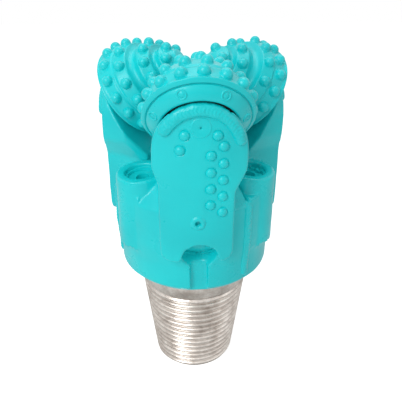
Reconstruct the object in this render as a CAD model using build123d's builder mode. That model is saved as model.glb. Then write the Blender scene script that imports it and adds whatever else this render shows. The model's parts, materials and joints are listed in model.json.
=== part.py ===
from build123d import *
import os
from math import cos, degrees, radians, sin, sqrt, tan, asin

# Sealed-bearing tricone drill bit with tungsten carbide inserts, standing on
# the end of its pin. Z is the bit axis, z = 0 is the pin end, and leg 1 faces -Y.

# overall form
legs = 3
gauge_dia = 139.7                 # hole size that the cones cut, 5 1/2 in
pad_radius = 67.0                 # outside of the leg pads
shank_dia = 114.3
pin_dia = 88.9                    # large end of the API pin
pin_length = 95.25
pin_taper = 1 / 4                 # on the diameter
pin_relief_dia = 85.8             # plain neck under the shoulder
pin_relief_length = 12.7
pin_end_chamfer = 2.5
shoulder_bevel = 5.2
water_course_dia = 38.0

# leg sector, as angles about the bit axis from the middle of the pad
seam_angle = 36.0
leg_pitch = 360 / legs

# body between the pads
flare_z = 118.0                   # the shank starts to flare here
body_z = 130.0                    # and reaches its full radius here
body_radius = 58.5
body_top_z = 160.0
crotch_z = 178.0                  # floor between the legs
plenum_dia = 48.0
plenum_z = 108.0
plenum_top_z = 150.0

# pad and shirttail outline, seen from outside, x across and z up
shirttail_z = 203.0               # widest place of the shirttail
shirttail_half = 29.8
shirttail_rise = 34.5             # from the widest place to the tip
neck_z = 178.0
pad_left = 26.0
pad_right = 22.0
pad_bottom_z = 128.5
pad_corner = 7.0
pad_inside = 28.0                 # how far the arm reaches in from the bit axis
hardfacing_width = 6.6
hardfacing_height = 1.6
hardfacing_left_z = 216.0
hardfacing_right_z = 209.0

# journal: s runs along its axis from the cone's outer ring edge to the nose
journal_angle = 36.0              # between the journal axis and level
ring_radius = 35.3                # outer ring edge of the cone
ring_centre_z = 222.7
running_fit = 0.06                # radial clearance in the bearing
end_play = 0.10
seat_gap = 0.30                   # cone back to leg
cone_back_s = -7.2
journal_dia = 40.0
journal_length = 20.6             # from the leg face to the ball race land
bushing_wall = 2.4
bushing_from_s = -1.4
race_s = 18.0
race_dia = 36.0                   # circle of the ball centres
ball_dia = 9.0
ball_count = 12
land_dia = 35.8                   # journal land on both sides of the race
thrust_s = 24.0
washer_thickness = 2.0
pilot_dia = 20.0
pilot_end_s = 34.0
seal_section = 3.5
ball_hole_dia = 9.8
ball_hole_z = 221.5

# inserts
insert_fit = 0.02                 # radial clearance of an insert in its socket
gauge_insert_dia = 7.4
insert_dia = 7.0
insert_height = 4.3               # above the steel
insert_depth = 5.0
heel_insert_dia = 5.4
heel_insert_depth = 3.6
heel_count = 7
heel_inner_radius = 25.4          # inner edge of the heel band, at the cone's back
heel_rho = 29.2
button_dia = 5.7
button_height = 1.8
button_depth = 5.0
land_half = 4.3                   # half of the steel band that carries a row

# lubricant reservoir
reservoir_dia = 26.0
reservoir_tilt = 50.0             # from vertical, leaning in
reservoir_z = 124.9               # where its axis leaves the pad
reservoir_depth = 38.0
reservoir_ring_depth = 13.0
reservoir_ring_wire = 1.6
reservoir_cap_thickness = 6.0
diaphragm_wall = 1.5
diaphragm_depth = 13.0
slot_width = 12.5
slot_top_z = 122.5
slot_depth = 4.5

# nozzle boss on the leg's left, seen from outside
boss_angle = -60.0
boss_radius_at = 44.0
boss_dia = 35.0
boss_top_z = 177.0
boss_bottom_z = 120.0
boss_lean_out = 6.0
nozzle_mouth_dia = 25.0
nozzle_mouth_depth = 5.0
nozzle_dia = 21.0
nozzle_length = 18.0
nozzle_orifice_dia = 9.5
nozzle_fit = 0.10
nozzle_seal_section = 2.6
nozzle_ring_wire = 1.8
passage_dia = 15.0

# small parts
grease_x = -1.5
grease_z = 158.5
grease_plug_dia = 6.8
grease_flange_dia = 8.8
grease_flange_height = 0.8
dowel_dia = 8.0
dowel_length = 16.0
dowel_radius_at = 40.0
weld_width = 6.0
weld_height = 1.4

# journal frame: origin at the centre of the ring edge, its Z along s
tilt = radians(journal_angle)
ring_centre_r = gauge_dia / 2 - ring_radius * sin(tilt)
along = (0, cos(tilt), sin(tilt))
journal_plane = Plane(origin=(0, -ring_centre_r, ring_centre_z), x_dir=(1, 0, 0), z_dir=along)
leg_face_s = cone_back_s - seat_gap
bushing_dia = journal_dia + 2 * bushing_wall
gland_dia = journal_dia + 2 * seal_section
main_journal_end_s = leg_face_s + journal_length
cavity_end_s = pilot_end_s + 1.0
reservoir_axis = (0, sin(radians(reservoir_tilt)), cos(radians(reservoir_tilt)))
reservoir_plane = Plane(origin=(0, -pad_radius, reservoir_z), x_dir=(1, 0, 0), z_dir=reservoir_axis)
slot_face = shank_dia / 2 - slot_depth


def outward(angle):
    """Unit vector that points away from the bit axis at this angle from leg 1."""
    return Vector(sin(radians(angle)), -cos(radians(angle)), 0)


def meridian(angle):
    """Plane that holds the bit axis: its x runs outward at the angle, its y up."""
    return Plane(origin=(0, 0, 0), x_dir=outward(angle), z_dir=outward(angle - 90))


def pad_point(x, z):
    """Plane on the pad's outside at x, z, whose Z points straight out."""
    out = outward(degrees(asin(x / pad_radius)))
    return Plane(origin=out * pad_radius + Vector(0, 0, z), x_dir=(0, 0, 1), z_dir=out)


def journal_point(s, rho):
    """Point of the journal frame on its underside, as r and z of leg 1."""
    r = ring_centre_r - s * cos(tilt) - rho * sin(tilt)
    return r, ring_centre_z + s * sin(tilt) - rho * cos(tilt)


def dome_middle(radius, rise, top):
    """Middle of the arc from a dome's rim to its top, for a centre on the axis."""
    sphere = (radius**2 + rise**2) / (2 * rise)
    half = asin(radius / sphere) / 2
    return sphere * sin(half), top - sphere * (1 - cos(half))


def place(piece, name, location=Location()):
    """Label a copy of the piece at the location and write it to its own file."""
    with BuildPart() as placed:
        with Locations(location):
            add(piece.part)
    placed.part.label = name
    export_step(placed.part, f"parts/{name}.step")


def place_on_legs(piece, name, location=Location()):
    for number in range(legs):
        turn = Location((0, 0, 0), (0, 0, number * leg_pitch))
        place(piece, f"{name}_{number + 1}", turn * location)


os.makedirs("parts", exist_ok=True)

# ---- tools that more than one piece is cut or fitted with ----

with BuildPart() as race_ring:
    with BuildSketch(Plane.XZ) as race_section:
        with Locations((race_dia / 2, race_s)):
            Circle(ball_dia / 2 + running_fit)
    revolve(axis=Axis.Z)

race_r, race_z = journal_point(race_s, race_dia / 2)
hole_rise = (race_z - ball_hole_z) / (pad_radius - race_r)
hole_plane = Plane(origin=(0, -pad_radius, ball_hole_z), x_dir=(1, 0, 0), z_dir=(0, 1, hole_rise))
hole_length = sqrt((pad_radius - race_r) ** 2 + (race_z - ball_hole_z) ** 2)

with BuildPart() as journal:
    with BuildSketch(Plane.XZ) as journal_section:
        with BuildLine():
            Polyline(
                (0, leg_face_s),
                (journal_dia / 2, leg_face_s),
                (journal_dia / 2, main_journal_end_s - 0.5),
                (journal_dia / 2 - 0.5, main_journal_end_s),
                (land_dia / 2, main_journal_end_s),
                (land_dia / 2, thrust_s),
                (pilot_dia / 2, thrust_s),
                (pilot_dia / 2, pilot_end_s - 1),
                (pilot_dia / 2 - 1, pilot_end_s),
                (0, pilot_end_s),
                close=True,
            )
        make_face()
    revolve(axis=Axis.Z)
    add(race_ring.part, mode=Mode.SUBTRACT)

# ---- leg: a third of the pin and body, the arm with its pad, and the journal ----

pin_end_radius = pin_dia / 2 - pin_length * pin_taper / 2
relief_z = pin_length - pin_relief_length
relief_top_radius = pin_dia / 2 - pin_relief_length * pin_taper / 2
shoulder_radius = shank_dia / 2 - shoulder_bevel

with BuildPart() as pad:
    with BuildSketch(Plane.XZ.offset(pad_inside)) as pad_outline:
        with BuildLine():
            tip = EllipticalCenterArc((0, shirttail_z), shirttail_half, shirttail_rise, 0, arc_size=180)
            Polyline(
                tip @ 1,
                (-shirttail_half, neck_z + 16),
                (-pad_left, neck_z + 5),
                (-pad_left, pad_bottom_z),
                (pad_right, pad_bottom_z),
                (pad_right, neck_z),
                (shirttail_half, neck_z + 14),
                tip @ 0,
            )
        make_face()
        corners = pad_outline.vertices()
        fillet(corners.filter_by_position(Axis.Y, pad_bottom_z - 1, pad_bottom_z + 1), pad_corner)
        fillet(pad_outline.vertices().filter_by_position(Axis.Y, neck_z - 1, neck_z + 17), 9)
    extrude(amount=pad_radius)
    with BuildSketch() as pad_cylinder:
        Circle(pad_radius)
    extrude(amount=300, mode=Mode.INTERSECT)

with BuildPart() as boss:
    with BuildSketch(Plane.XY.offset(boss_bottom_z)) as boss_section:
        Circle(boss_dia / 2)
    extrude(amount=boss_top_z - boss_bottom_z + 6)
    chamfer(boss.faces().sort_by(Axis.Z)[0].edges(), 5)
    top_cut = Plane((0, 0, boss_top_z), x_dir=(0, 1, 0), z_dir=(sin(radians(boss_lean_out)), 0, 1))
    with BuildSketch(top_cut) as above_boss:
        Rectangle(3 * boss_dia, 3 * boss_dia)
    extrude(amount=30, mode=Mode.SUBTRACT)

boss_out = outward(boss_angle)
boss_place = Plane(origin=boss_out * boss_radius_at, x_dir=boss_out, z_dir=(0, 0, 1))
lean = radians(boss_lean_out)
nozzle_out = boss_out * sin(lean) + Vector(0, 0, cos(lean))
nozzle_plane = Plane(
    origin=boss_out * boss_radius_at + Vector(0, 0, boss_top_z),
    x_dir=outward(boss_angle + 90),
    z_dir=nozzle_out,
)
nozzle_seat_z = -nozzle_mouth_depth - nozzle_length
nozzle_seat = nozzle_plane.from_local_coords((0, 0, nozzle_seat_z))
plenum_port = boss_out * (plenum_dia / 2 - 6) + Vector(0, 0, plenum_z + 16)
seal_groove_z = -nozzle_mouth_depth - nozzle_length / 2

with BuildPart() as nozzle_bore:
    with BuildSketch(Plane.XZ) as nozzle_bore_section:
        with BuildLine():
            Polyline(
                (0, 6),
                (nozzle_mouth_dia / 2, 6),
                (nozzle_mouth_dia / 2, -nozzle_mouth_depth),
                (nozzle_dia / 2 + nozzle_fit, -nozzle_mouth_depth),
                (nozzle_dia / 2 + nozzle_fit, nozzle_seat_z),
                (0, nozzle_seat_z),
                close=True,
            )
        make_face()
        with Locations((nozzle_dia / 2 + 0.5, seal_groove_z)):
            Rectangle(2 * nozzle_seal_section, nozzle_seal_section + 0.6)
        with Locations((nozzle_mouth_dia / 2, -nozzle_mouth_depth + nozzle_ring_wire / 2 + 0.1)):
            Rectangle(2, nozzle_ring_wire + 0.2)
    revolve(axis=Axis.Z)

with BuildPart() as passage:
    flow = plenum_port - nozzle_seat
    with BuildSketch(Plane(origin=nozzle_seat, z_dir=flow)) as passage_section:
        Circle(passage_dia / 2)
    extrude(amount=flow.length)

with BuildPart() as reservoir_bore:
    with BuildSketch(Plane.XY.offset(-30)) as reservoir_section:
        Circle(reservoir_dia / 2)
    extrude(amount=reservoir_depth + 30)
    with BuildSketch(Plane.XY.offset(reservoir_ring_depth)) as ring_groove:
        Circle(reservoir_dia / 2 + reservoir_ring_wire / 2)
    extrude(amount=reservoir_ring_wire + 0.2)

button_spots = [(-9.5, 216.8), (10.2, 216.4), (-12.4, 207.4)]
button_spots += [(6.3, 204 - 11 * row) for row in range(4)]
button_spots += [(14.0, 209.5 - 11 * row) for row in range(5)]
button_places = [pad_point(x, z) for x, z in button_spots]
grease_plug_length = 8.0
grease_bleed_dia = 4.0
reservoir_end = reservoir_plane.from_local_coords((0, 0, reservoir_depth - 1))
reservoir_end_r, reservoir_end_z = -reservoir_end.Y, reservoir_end.Z

dowel_spots = [
    (meridian(seam), z)
    for seam in (seam_angle, seam_angle - leg_pitch)
    for z in (flare_z - 8, body_z + 18)
]

with BuildPart() as leg_blank:
    with BuildSketch(meridian(seam_angle - leg_pitch)) as body_section:
        with BuildLine():
            Polyline(
                (water_course_dia / 2, 0),
                (pin_end_radius - pin_end_chamfer, 0),
                (pin_end_radius, pin_end_chamfer),
                (relief_top_radius, relief_z),
                (pin_relief_dia / 2, relief_z + 1.5),
                (pin_relief_dia / 2, pin_length),
                (shoulder_radius, pin_length),
                (shank_dia / 2, pin_length + shoulder_bevel),
                (shank_dia / 2, flare_z),
                (body_radius, body_z),
                (body_radius, body_top_z),
                (boss_radius_at + 4, crotch_z - 6),
                (20, crotch_z + 1),
                (0, crotch_z + 3),
                (0, plenum_top_z),
                (plenum_dia / 4, plenum_top_z - 3),
                (plenum_dia / 2, plenum_top_z - 12),
                (plenum_dia / 2, plenum_z),
                (water_course_dia / 2, plenum_z - 8),
                close=True,
            )
        make_face()
    revolve(axis=Axis.Z, revolution_arc=leg_pitch)
    add(pad.part)
    with Locations(boss_place.location):
        add(boss.part)
    # what reaches over the seams belongs to the next leg
    with BuildSketch() as sector:
        with BuildLine():
            Polyline(
                (0, 0),
                tuple(outward(seam_angle - leg_pitch) * 200)[:2],
                tuple(outward(seam_angle - leg_pitch / 2) * 400)[:2],
                tuple(outward(seam_angle) * 200)[:2],
                close=True,
            )
        make_face()
    extrude(amount=300, mode=Mode.INTERSECT)
    # the plenum and water course stay open under the pad and boss
    with BuildSketch(Plane.XY.offset(plenum_z)) as plenum:
        Circle(plenum_dia / 2)
    extrude(amount=plenum_top_z - 12 - plenum_z, mode=Mode.SUBTRACT)
    # machined face that the back of the cone runs against
    with BuildSketch(journal_plane.offset(leg_face_s)) as leg_face:
        Rectangle(300, 170)
    extrude(amount=120, mode=Mode.SUBTRACT)
    with Locations(journal_plane.location):
        add(journal.part)

with BuildPart() as leg:
    add(leg_blank.part)
    with BuildSketch(hole_plane.offset(-5)) as ball_hole:
        Circle(ball_hole_dia / 2)
    extrude(amount=hole_length + 5, mode=Mode.SUBTRACT)
    with Locations(reservoir_plane.location):
        add(reservoir_bore.part, mode=Mode.SUBTRACT)
    with Locations(nozzle_plane.location):
        add(nozzle_bore.part, mode=Mode.SUBTRACT)
    add(passage.part, mode=Mode.SUBTRACT)

    for seam, z in dowel_spots:
        spot = Plane(seam.from_local_coords((dowel_radius_at, z)), z_dir=seam.z_dir)
        with BuildSketch(spot.offset(-dowel_length / 2)) as dowel_hole:
            Circle(dowel_dia / 2 + insert_fit)
        extrude(amount=dowel_length, mode=Mode.SUBTRACT)
    # slot in the shank below the reservoir, open to the shoulder
    with BuildSketch(Plane.XZ.offset(slot_face)) as slot:
        with Locations((0, slot_top_z - slot_width / 2)):
            Circle(slot_width / 2)
        with Locations((0, (pin_length + slot_top_z - slot_width / 2) / 2)):
            Rectangle(slot_width, slot_top_z - slot_width / 2 - pin_length)
    extrude(amount=20, mode=Mode.SUBTRACT)
    with Locations(*button_places):
        Hole(button_dia / 2 + insert_fit, depth=button_depth)
    with Locations(pad_point(grease_x, grease_z)):
        Hole(grease_plug_dia / 2 + insert_fit, depth=grease_plug_length)
        Hole(grease_bleed_dia / 2, depth=grease_plug_length + 6)
    # grease passage from the top of the reservoir to the ball hole
    with BuildSketch(Plane.XY.offset(reservoir_end_z)) as grease_passage:
        with Locations((0, -reservoir_end_r)):
            Circle(grease_bleed_dia / 2)
    extrude(amount=ball_hole_z - reservoir_end_z, mode=Mode.SUBTRACT)

place_on_legs(leg, "leg")
print("leg", leg.part.volume)

# ---- what is set into the pad ----

with BuildPart() as button:
    with BuildSketch(Plane.XZ) as button_section:
        with BuildLine():
            Polyline((0, button_height), (0, -button_depth), (button_dia / 2, -button_depth),
                     (button_dia / 2, 0))
            ThreePointArc((button_dia / 2, 0), dome_middle(button_dia / 2, button_height, button_height),
                          (0, button_height))
        make_face()
    revolve(axis=Axis.Z)

with BuildPart() as shirttail_buttons:
    with Locations(*button_places):
        add(button.part)
place_on_legs(shirttail_buttons, "shirttail_buttons")

with BuildPart() as hardfacing:
    with BuildSketch(Plane.XZ.offset(pad_inside)) as bead_outline:
        with Locations((0, shirttail_z)):
            Ellipse(shirttail_half, shirttail_rise)
            Ellipse(shirttail_half - hardfacing_width, shirttail_rise - hardfacing_width,
                    mode=Mode.SUBTRACT)
        with BuildLine():
            Polyline(
                (-2 * shirttail_half, hardfacing_left_z),
                (0, (hardfacing_left_z + hardfacing_right_z) / 2),
                (2 * shirttail_half, hardfacing_right_z),
                (2 * shirttail_half, shirttail_z - 2 * shirttail_rise),
                (-2 * shirttail_half, shirttail_z - 2 * shirttail_rise),
                close=True,
            )
        make_face(mode=Mode.SUBTRACT)
    extrude(amount=2 * pad_radius)
    with BuildSketch() as bead_band:
        Circle(pad_radius + hardfacing_height)
        Circle(pad_radius, mode=Mode.SUBTRACT)
    extrude(amount=300, mode=Mode.INTERSECT)
    with BuildSketch(Plane.XZ) as front_half:
        with Locations((0, shirttail_z)):
            Rectangle(4 * pad_radius, 4 * shirttail_rise)
    extrude(amount=2 * pad_radius, mode=Mode.INTERSECT)
    with BuildSketch(journal_plane.offset(leg_face_s)) as bead_face:
        Rectangle(300, 170)
    extrude(amount=120, mode=Mode.SUBTRACT)
place_on_legs(hardfacing, "hardfacing")

with BuildPart() as ball_plug:
    with BuildSketch(hole_plane.offset(-5)) as plug_section:
        Circle(ball_hole_dia / 2 - insert_fit)
    extrude(amount=hole_length + 5)
    add(leg_blank.part, mode=Mode.INTERSECT)
place_on_legs(ball_plug, "ball_plug")

with BuildPart() as grease_plug:
    with BuildSketch(Plane.XY.offset(-grease_plug_length)) as grease_body:
        Circle(grease_plug_dia / 2)
    extrude(amount=grease_plug_length)
    with BuildSketch(Plane.XY) as grease_flange:
        Circle(grease_flange_dia / 2)
    extrude(amount=grease_flange_height)
    with Locations((0, 0, grease_flange_height)):
        Hole(grease_bleed_dia / 2, depth=4)
place_on_legs(grease_plug, "grease_plug", pad_point(grease_x, grease_z).location)

# ---- lubricant reservoir: cap, rubber diaphragm and snap ring ----

cap_s = reservoir_ring_depth + reservoir_ring_wire + 0.2
diaphragm_s = cap_s + reservoir_cap_thickness
reservoir_fit_radius = reservoir_dia / 2 - running_fit

with BuildPart() as reservoir_cap:
    with BuildSketch(Plane.XZ) as cap_section:
        with BuildLine():
            Polyline(
                (2, cap_s + 2),
                (5, cap_s),
                (reservoir_fit_radius, cap_s),
                (reservoir_fit_radius, diaphragm_s),
                (2, diaphragm_s),
                close=True,
            )
        make_face()
    revolve(axis=Axis.Z)
place_on_legs(reservoir_cap, "reservoir_cap", reservoir_plane.location)

with BuildPart() as reservoir_diaphragm:
    with BuildSketch(Plane.XZ) as diaphragm_section:
        with BuildLine():
            Polyline(
                (reservoir_fit_radius, diaphragm_s),
                (reservoir_fit_radius, diaphragm_s + 2),
                (reservoir_fit_radius - 2, diaphragm_s + 2),
                (reservoir_fit_radius - 5, diaphragm_s + diaphragm_depth),
                (0, diaphragm_s + diaphragm_depth),
                (0, diaphragm_s + diaphragm_depth - diaphragm_wall),
                (reservoir_fit_radius - 6, diaphragm_s + diaphragm_depth - diaphragm_wall),
                (reservoir_fit_radius - 3.5, diaphragm_s),
                close=True,
            )
        make_face()
    revolve(axis=Axis.Z)
place_on_legs(reservoir_diaphragm, "reservoir_diaphragm", reservoir_plane.location)

with BuildPart() as reservoir_ring:
    with BuildSketch(Plane.XY.offset(reservoir_ring_depth + 0.1)) as reservoir_ring_section:
        Circle(reservoir_dia / 2 + reservoir_ring_wire / 2 - running_fit)
        Circle(reservoir_dia / 2 - 2, mode=Mode.SUBTRACT)
        with Locations((0, reservoir_dia / 2)):
            Rectangle(4, 8, mode=Mode.SUBTRACT)
    extrude(amount=reservoir_ring_wire)
place_on_legs(reservoir_ring, "reservoir_ring", reservoir_plane.location)

# ---- nozzle: carbide jet, its seal and its snap ring ----

with BuildPart() as nozzle:
    with BuildSketch(Plane.XZ) as nozzle_section:
        with BuildLine():
            Polyline(
                (nozzle_orifice_dia / 2, -nozzle_mouth_depth),
                (nozzle_dia / 2, -nozzle_mouth_depth),
                (nozzle_dia / 2, nozzle_seat_z),
                (nozzle_dia / 2 - 3, nozzle_seat_z),
            )
            ThreePointArc(
                (nozzle_dia / 2 - 3, nozzle_seat_z),
                (nozzle_orifice_dia / 2 + 0.9, nozzle_seat_z + 5),
                (nozzle_orifice_dia / 2, nozzle_seat_z + 11),
            )
            Line((nozzle_orifice_dia / 2, nozzle_seat_z + 11),
                 (nozzle_orifice_dia / 2, -nozzle_mouth_depth))
        make_face()
    revolve(axis=Axis.Z)
place_on_legs(nozzle, "nozzle", nozzle_plane.location)

with BuildPart() as nozzle_seal:
    with BuildSketch(Plane.XZ) as nozzle_seal_shape:
        with Locations((nozzle_dia / 2 + nozzle_seal_section / 2 + 0.02, seal_groove_z)):
            Circle(nozzle_seal_section / 2)
    revolve(axis=Axis.Z)
place_on_legs(nozzle_seal, "nozzle_seal", nozzle_plane.location)

with BuildPart() as nozzle_ring:
    with BuildSketch(Plane.XY.offset(-nozzle_mouth_depth + 0.1)) as nozzle_ring_section:
        Circle(nozzle_mouth_dia / 2 + 0.9)
        Circle(nozzle_mouth_dia / 2 - 2.2, mode=Mode.SUBTRACT)
        with PolarLocations(nozzle_mouth_dia / 2 - 2.4, 2, start_angle=-28, angular_range=56):
            Circle(2.6)
        with Locations((nozzle_mouth_dia / 2, 0)):
            Rectangle(8, 5, mode=Mode.SUBTRACT)
        with PolarLocations(nozzle_mouth_dia / 2 - 2.4, 2, start_angle=-28, angular_range=56):
            Circle(0.9, mode=Mode.SUBTRACT)
    extrude(amount=nozzle_ring_wire)
place_on_legs(nozzle_ring, "nozzle_ring", nozzle_plane.location)

# ---- cones ----
# Each row of inserts is given as s and rho of the steel it stands on, the lean of
# its inserts from square to the journal axis, the count, and the turn of the first.

gauge_row = (6.6, 34.9, 10, 16, 3.0)
inner_rows = {
    1: [(15.0, 32.0, 26, 14, -9.0), (30.0, 23.4, 38, 10, 5.0), (42.0, 11.6, 48, 5, 0.0)],
    2: [(16.6, 31.0, 30, 13, 0.0), (32.6, 20.6, 42, 9, 10.0), (42.0, 10.6, 60, 4, 20.0)],
    3: [(15.6, 31.6, 26, 14, 8.0), (28.4, 24.6, 36, 11, 0.0), (39.0, 14.4, 44, 6, 12.0)],
}
nose_s = {1: 47.0, 2: 44.0, 3: 45.5}
groove_depth = {1: 3.4, 2: 3.8, 3: 3.2}
has_nose_insert = {1: True, 2: False, 3: True}


def row_places(row):
    """Planes on the steel of a cone, one for each insert, whose Z points out along it."""
    s, rho, lean, count, first = row
    places = []
    for step in range(count):
        turn = radians(first + step * 360 / count - 90)
        around = Vector(cos(turn), sin(turn), 0)
        out = around * cos(radians(lean)) + Vector(0, 0, sin(radians(lean)))
        places.append(Plane(origin=around * rho + Vector(0, 0, s), z_dir=out))
    return places


def insert(diameter, height, depth):
    """Domed carbide insert whose steel line is at z = 0."""
    radius = diameter / 2
    rise = radius * 0.9
    with BuildPart() as shape:
        with BuildSketch(Plane.XZ) as shape_section:
            with BuildLine():
                Polyline((0, height), (0, -depth), (radius, -depth), (radius, height - rise))
                ThreePointArc((radius, height - rise), dome_middle(radius, rise, height),
                              (0, height))
            make_face()
        revolve(axis=Axis.Z)
    return shape


def row_of(inserts, row):
    with BuildPart() as group:
        with Locations(*row_places(row)):
            add(inserts.part)
    return group


gauge_insert = insert(gauge_insert_dia, insert_height, insert_depth)
inner_insert = insert(insert_dia, insert_height, insert_depth)

band = Vector(ring_radius - heel_inner_radius, 0, -cone_back_s).normalized()
heel_s = cone_back_s * (ring_radius - heel_rho) / (ring_radius - heel_inner_radius)
heel_lean = -degrees(asin(band.X))
heel_row = (heel_s, heel_rho, heel_lean, heel_count, -22.7)

with BuildPart() as heel_insert:
    with BuildSketch(Plane.XY.offset(-heel_insert_depth)) as heel_insert_section:
        Circle(heel_insert_dia / 2)
    extrude(amount=heel_insert_depth + 0.3)

with BuildPart() as bearing_cavity:
    with BuildSketch(Plane.XZ) as cavity_section:
        with BuildLine():
            Polyline(
                (0, cone_back_s - 5),
                (gland_dia / 2, cone_back_s - 5),
                (gland_dia / 2, bushing_from_s - 0.4),
                (bushing_dia / 2, bushing_from_s - 0.4),
                (bushing_dia / 2, main_journal_end_s + end_play),
                (land_dia / 2 + running_fit, main_journal_end_s + end_play),
                (land_dia / 2 + running_fit, thrust_s + washer_thickness + end_play),
                (pilot_dia / 2 + running_fit, thrust_s + washer_thickness + end_play),
                (pilot_dia / 2 + running_fit, cavity_end_s),
                (0, cavity_end_s),
                close=True,
            )
        make_face()
    revolve(axis=Axis.Z)
    add(race_ring.part)

for number in range(1, legs + 1):
    turn = Location((0, 0, 0), (0, 0, (number - 1) * leg_pitch)) * journal_plane.location
    rows = [gauge_row] + inner_rows[number]
    with BuildPart() as cone:
        with BuildSketch(Plane.XZ) as cone_section:
            with BuildLine():
                Polyline((0, cone_back_s), (heel_inner_radius, cone_back_s), (ring_radius, 0))
                end = Vector(ring_radius, 0)
                for index, (s, rho, lean, count, first) in enumerate(rows):
                    slope = Vector(-sin(radians(lean)), cos(radians(lean)))
                    near = Vector(rho, s) - slope * land_half
                    far = Vector(rho, s) + slope * land_half
                    if index < 2:
                        Line(end, near)
                    else:
                        across = (near - end).normalized()
                        inward = Vector(-across.Y, across.X)
                        middle = (end + near) / 2 + inward * groove_depth[number]
                        ThreePointArc(end, middle, near)
                    Line(near, far)
                    end = far
                Line(end, (end.X - 2, nose_s[number]))
                Line((end.X - 2, nose_s[number]), (0, nose_s[number]))
                Line((0, nose_s[number]), (0, cone_back_s))
            make_face()
        revolve(axis=Axis.Z)
        add(bearing_cavity.part, mode=Mode.SUBTRACT)
        with Locations(*row_places(gauge_row)):
            Hole(gauge_insert_dia / 2 + insert_fit, depth=insert_depth)
        for row in inner_rows[number]:
            with Locations(*row_places(row)):
                Hole(insert_dia / 2 + insert_fit, depth=insert_depth)
        with Locations(*row_places(heel_row)):
            Hole(heel_insert_dia / 2 + insert_fit, depth=heel_insert_depth)
        if has_nose_insert[number]:
            with Locations((0, 0, nose_s[number])):
                Hole(insert_dia / 2 + insert_fit, depth=insert_depth)
    place(cone, f"cone_{number}", turn)

    with BuildPart() as inner_inserts:
        for row in inner_rows[number]:
            with Locations(*row_places(row)):
                add(inner_insert.part)
        if has_nose_insert[number]:
            with Locations((0, 0, nose_s[number])):
                add(inner_insert.part)
    place(inner_inserts, f"inner_inserts_{number}", turn)
    print("cone", number, cone.part.volume, len(cone.part.solids()))

place_on_legs(row_of(gauge_insert, gauge_row), "gauge_inserts", journal_plane.location)
place_on_legs(row_of(heel_insert, heel_row), "heel_inserts", journal_plane.location)

# ---- bearing pieces between journal and cone ----

with BuildPart() as cone_bushing:
    with BuildSketch(Plane.XY.offset(bushing_from_s)) as bushing_section:
        Circle(bushing_dia / 2)
        Circle(journal_dia / 2 + running_fit, mode=Mode.SUBTRACT)
    extrude(amount=main_journal_end_s - bushing_from_s)
place_on_legs(cone_bushing, "cone_bushing", journal_plane.location)

with BuildPart() as bearing_balls:
    with Locations((0, 0, race_s)):
        with PolarLocations(race_dia / 2, ball_count, start_angle=15):
            Sphere(ball_dia / 2)
place_on_legs(bearing_balls, "bearing_balls", journal_plane.location)

with BuildPart() as thrust_washer:
    with BuildSketch(Plane.XY.offset(thrust_s + end_play / 2)) as washer_section:
        Circle(land_dia / 2 - running_fit)
        Circle(pilot_dia / 2 + 2 * running_fit, mode=Mode.SUBTRACT)
    extrude(amount=washer_thickness)
place_on_legs(thrust_washer, "thrust_washer", journal_plane.location)

with BuildPart() as cone_seal:
    with BuildSketch(Plane.XZ) as cone_seal_section:
        with Locations(((journal_dia + seal_section) / 2, bushing_from_s - 0.4 - seal_section / 2)):
            Circle(seal_section / 2 - running_fit)
    revolve(axis=Axis.Z)
place_on_legs(cone_seal, "cone_seal", journal_plane.location)

# ---- dowels and weld beads that join the legs ----

dowel_places = []
for number in range(legs):
    for seam, z in dowel_spots[:2]:
        turned = Plane(seam.from_local_coords((dowel_radius_at, z)), z_dir=seam.z_dir)
        dowel_places.append(Location((0, 0, 0), (0, 0, number * leg_pitch)) * turned.location)

with BuildPart() as dowel_pins:
    with Locations(*dowel_places):
        Cylinder(dowel_dia / 2, dowel_length - 0.2)
place(dowel_pins, "dowel_pins")

weld_turn = degrees(weld_width / body_radius)
with BuildPart() as seam_weld:
    with BuildSketch(meridian(seam_angle - weld_turn / 2)) as weld_section:
        with BuildLine():
            Polyline(
                (shank_dia / 2, pin_length + shoulder_bevel + 2),
                (shank_dia / 2, flare_z),
                (body_radius, body_z),
                (body_radius, body_top_z),
                (body_radius + weld_height, body_top_z - weld_height),
                (body_radius + weld_height, body_z),
                (shank_dia / 2 + weld_height, flare_z),
                (shank_dia / 2 + weld_height, pin_length + shoulder_bevel + 2 + weld_height),
                close=True,
            )
        make_face()
    revolve(axis=Axis.Z, revolution_arc=weld_turn)

with BuildPart() as seam_welds:
    with Locations(*[Location((0, 0, 0), (0, 0, step * leg_pitch)) for step in range(legs)]):
        add(seam_weld.part)
place(seam_welds, "seam_welds")
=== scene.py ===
import json
import math

import bmesh
import bpy
from mathutils import Matrix, Vector, noise


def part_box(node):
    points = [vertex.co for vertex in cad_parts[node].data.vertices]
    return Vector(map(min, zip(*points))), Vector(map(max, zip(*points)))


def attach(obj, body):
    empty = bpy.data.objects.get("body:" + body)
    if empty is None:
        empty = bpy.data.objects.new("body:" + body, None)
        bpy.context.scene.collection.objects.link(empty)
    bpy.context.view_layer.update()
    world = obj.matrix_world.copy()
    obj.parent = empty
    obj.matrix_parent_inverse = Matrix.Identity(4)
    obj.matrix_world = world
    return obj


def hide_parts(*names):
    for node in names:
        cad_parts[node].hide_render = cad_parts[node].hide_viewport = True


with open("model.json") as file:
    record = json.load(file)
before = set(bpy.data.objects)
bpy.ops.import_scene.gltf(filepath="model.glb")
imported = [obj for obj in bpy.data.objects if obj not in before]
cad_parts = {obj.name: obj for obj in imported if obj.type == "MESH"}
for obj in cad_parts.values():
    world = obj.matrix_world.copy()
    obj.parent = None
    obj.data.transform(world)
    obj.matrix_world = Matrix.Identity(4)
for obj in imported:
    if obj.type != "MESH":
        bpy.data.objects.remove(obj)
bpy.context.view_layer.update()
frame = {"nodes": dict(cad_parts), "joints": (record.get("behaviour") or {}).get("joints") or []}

mm = 0.001
legNumbers = (1, 2, 3)
legPitch = math.radians(120)
print("frame loaded")


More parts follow.
